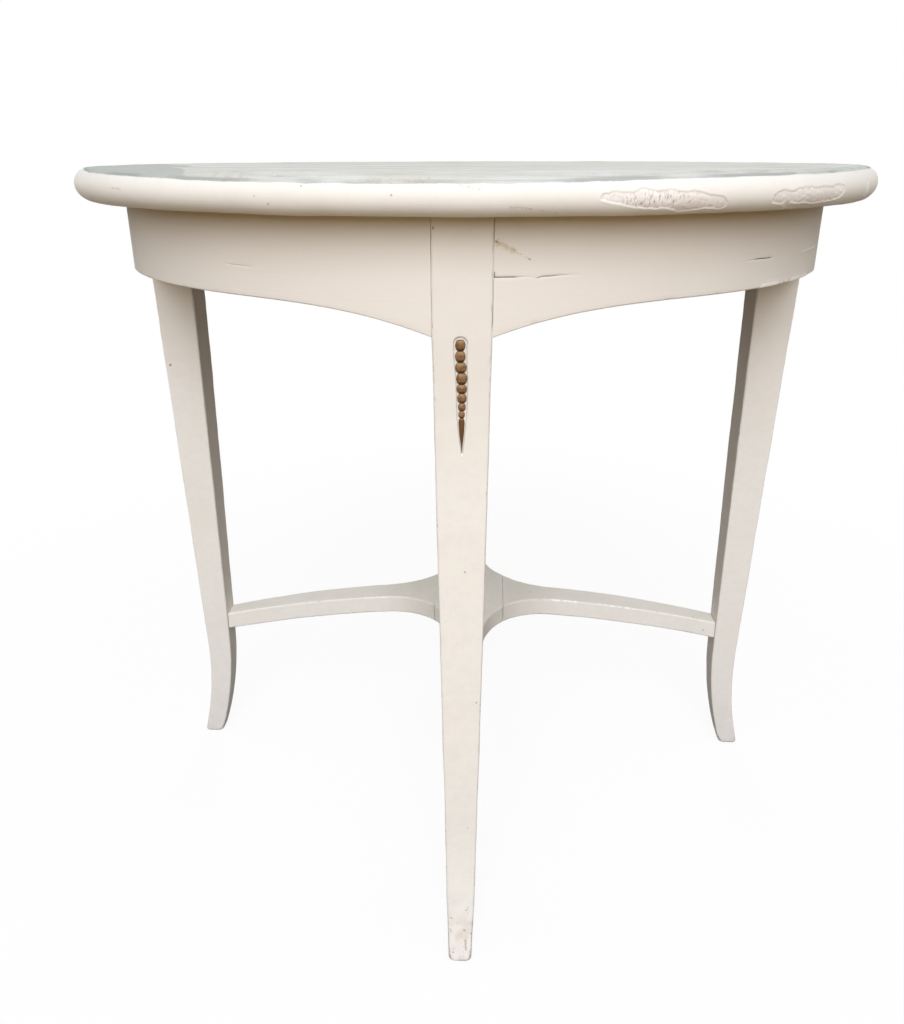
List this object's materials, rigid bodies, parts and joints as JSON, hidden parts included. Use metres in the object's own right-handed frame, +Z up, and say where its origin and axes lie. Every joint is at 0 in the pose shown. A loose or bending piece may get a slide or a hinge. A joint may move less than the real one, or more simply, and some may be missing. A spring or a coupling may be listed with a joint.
{
  "type": "round coffee table",
  "caption": "Round painted wooden coffee table with a curved apron, tapered sabre legs and an arched cross stretcher; holds cups, lamps or books beside seating.",
  "frame": {"origin": "on the floor, under the middle of the round top", "axes": "+Z up; the front leg stands at -Y, the right leg at +X; the boards of the top run along X"},
  "size_m": [0.7, 0.7, 0.653],
  "materials": {
    "cream_paint": "satin cream paint, worn at the edges",
    "weathered_top": "weathered grey paint with pale streaks along the grain",
    "bronze_paint": "bronze paint on turned wood",
    "bare_pine": "bare aged pine",
    "screw_steel": "dull steel"
  },
  "bodies": {
    "root": {"top_board_1": "weathered_top", "top_board_2": "weathered_top", "top_board_3": "weathered_top", "top_board_4": "weathered_top", "top_board_5": "weathered_top", "apron_front_right_upper": "cream_paint", "apron_front_right_lower": "cream_paint", "apron_back_right_upper": "cream_paint", "apron_back_right_lower": "cream_paint", "apron_back_left_upper": "cream_paint", "apron_back_left_lower": "cream_paint", "apron_front_left_upper": "cream_paint", "apron_front_left_lower": "cream_paint", "leg_front": "cream_paint", "leg_right": "cream_paint", "leg_back": "cream_paint", "leg_left": "cream_paint", "bead_drop_front": "bronze_paint", "bead_drop_right": "bronze_paint", "bead_drop_back": "bronze_paint", "bead_drop_left": "bronze_paint", "stretcher_rail": "cream_paint", "stretcher_arm_right": "cream_paint", "stretcher_arm_left": "cream_paint", "dowel_right_1": "bare_pine", "dowel_right_2": "bare_pine", "dowel_left_1": "bare_pine", "dowel_left_2": "bare_pine", "fixing_block_1": "bare_pine", "fixing_block_2": "bare_pine", "fixing_block_3": "bare_pine", "fixing_block_4": "bare_pine", "fixing_block_5": "bare_pine", "fixing_block_6": "bare_pine", "fixing_block_7": "bare_pine", "fixing_block_8": "bare_pine", "fixing_screw_1": "screw_steel", "fixing_screw_2": "screw_steel", "fixing_screw_3": "screw_steel", "fixing_screw_4": "screw_steel", "fixing_screw_5": "screw_steel", "fixing_screw_6": "screw_steel", "fixing_screw_7": "screw_steel", "fixing_screw_8": "screw_steel"}
  },
  "joints": []
}
